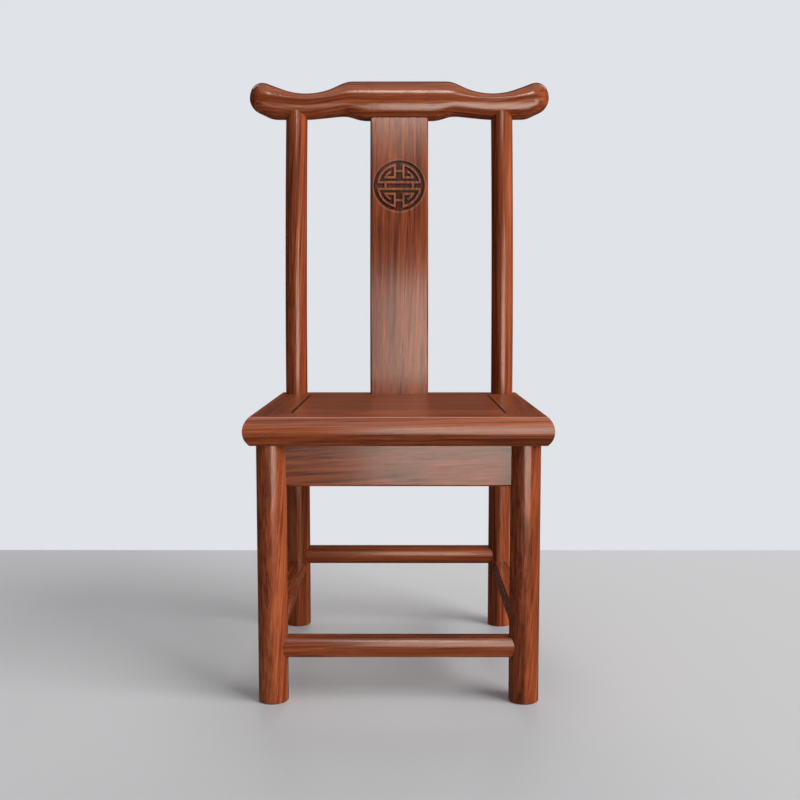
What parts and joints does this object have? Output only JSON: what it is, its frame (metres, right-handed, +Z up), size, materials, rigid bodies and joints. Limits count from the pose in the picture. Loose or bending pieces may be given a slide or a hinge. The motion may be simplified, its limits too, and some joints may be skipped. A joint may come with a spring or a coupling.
{
  "type": "low chair",
  "caption": "Low Chinese side chair in walnut-stained wood: yoke crest rail, carved back splat, framed panel seat, round legs, aprons and stepped stretchers.",
  "frame": {"origin": "on the floor, under the middle of the chair's bounding box", "axes": "+Z up, +Y towards the back, so a sitter faces -Y, +X to the right in the front view"},
  "size_m": [0.3556, 0.3171, 0.6496],
  "materials": {
    "walnut_wood": "reddish brown walnut, satin lacquer",
    "dowel_wood": "plain hardwood dowel"
  },
  "bodies": {
    "root": {"crest_rail": "walnut_wood", "back_splat": "walnut_wood", "seat_panel": "walnut_wood", "seat_batten": "walnut_wood", "seat_front_rail": "walnut_wood", "seat_right_rail": "walnut_wood", "seat_rear_rail": "walnut_wood", "seat_left_rail": "walnut_wood", "front_apron": "walnut_wood", "right_apron": "walnut_wood", "rear_apron": "walnut_wood", "left_apron": "walnut_wood", "front_stretcher": "walnut_wood", "right_stretcher": "walnut_wood", "rear_stretcher": "walnut_wood", "left_stretcher": "walnut_wood", "front_leg_left": "walnut_wood", "front_leg_right": "walnut_wood", "rear_post_left": "walnut_wood", "rear_post_right": "walnut_wood", "frame_dowels": "dowel_wood"}
  },
  "joints": []
}
